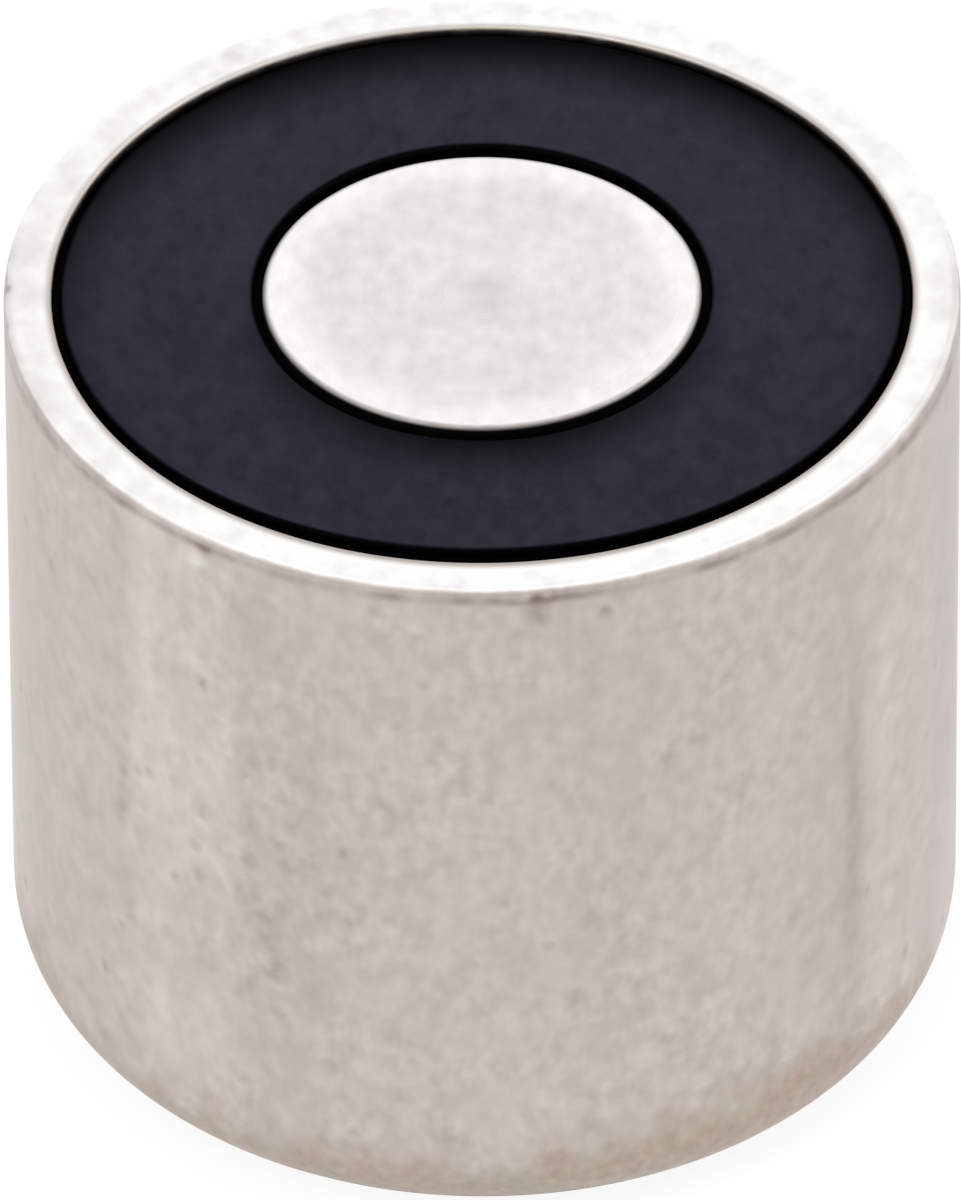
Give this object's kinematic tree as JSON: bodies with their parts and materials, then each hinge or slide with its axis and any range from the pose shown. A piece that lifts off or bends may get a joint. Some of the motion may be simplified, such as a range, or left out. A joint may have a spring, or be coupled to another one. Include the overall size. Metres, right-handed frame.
{
  "type": "electro-permanent holding magnet",
  "caption": "Round holding magnet: a plated steel cup, a ring of black casting resin and a central steel pole; it holds without power and lets go on a current pulse.",
  "frame": {"origin": "centre of the mounting face, on the magnet's axis", "axes": "+Z along the axis from the mounting face to the holding face, +Y to the lead bush at the back"},
  "size_m": [0.025, 0.025, 0.022],
  "materials": {
    "plated_steel": "satin nickel plate with fine mottling",
    "ground_steel": "fine ground and plated",
    "magnet_alloy": "sintered magnet alloy, nickel plated",
    "former_plastic": "glass-filled moulding",
    "enamelled_wire": "enamelled copper wire",
    "insulating_tape": "polyester film tape",
    "tinned_pin": "tinned brass",
    "bush_plastic": "moulded black plastic",
    "black_resin": "satin black casting resin"
  },
  "bodies": {
    "root": {"pot_shell": "plated_steel", "centre_pole": "ground_steel", "magnet_disc": "magnet_alloy", "coil_former": "former_plastic", "coil_winding": "enamelled_wire", "winding_tape": "insulating_tape", "terminal_pin_start": "tinned_pin", "terminal_pin_finish": "tinned_pin", "lead_bush": "bush_plastic", "casting_resin": "black_resin"}
  },
  "joints": []
}
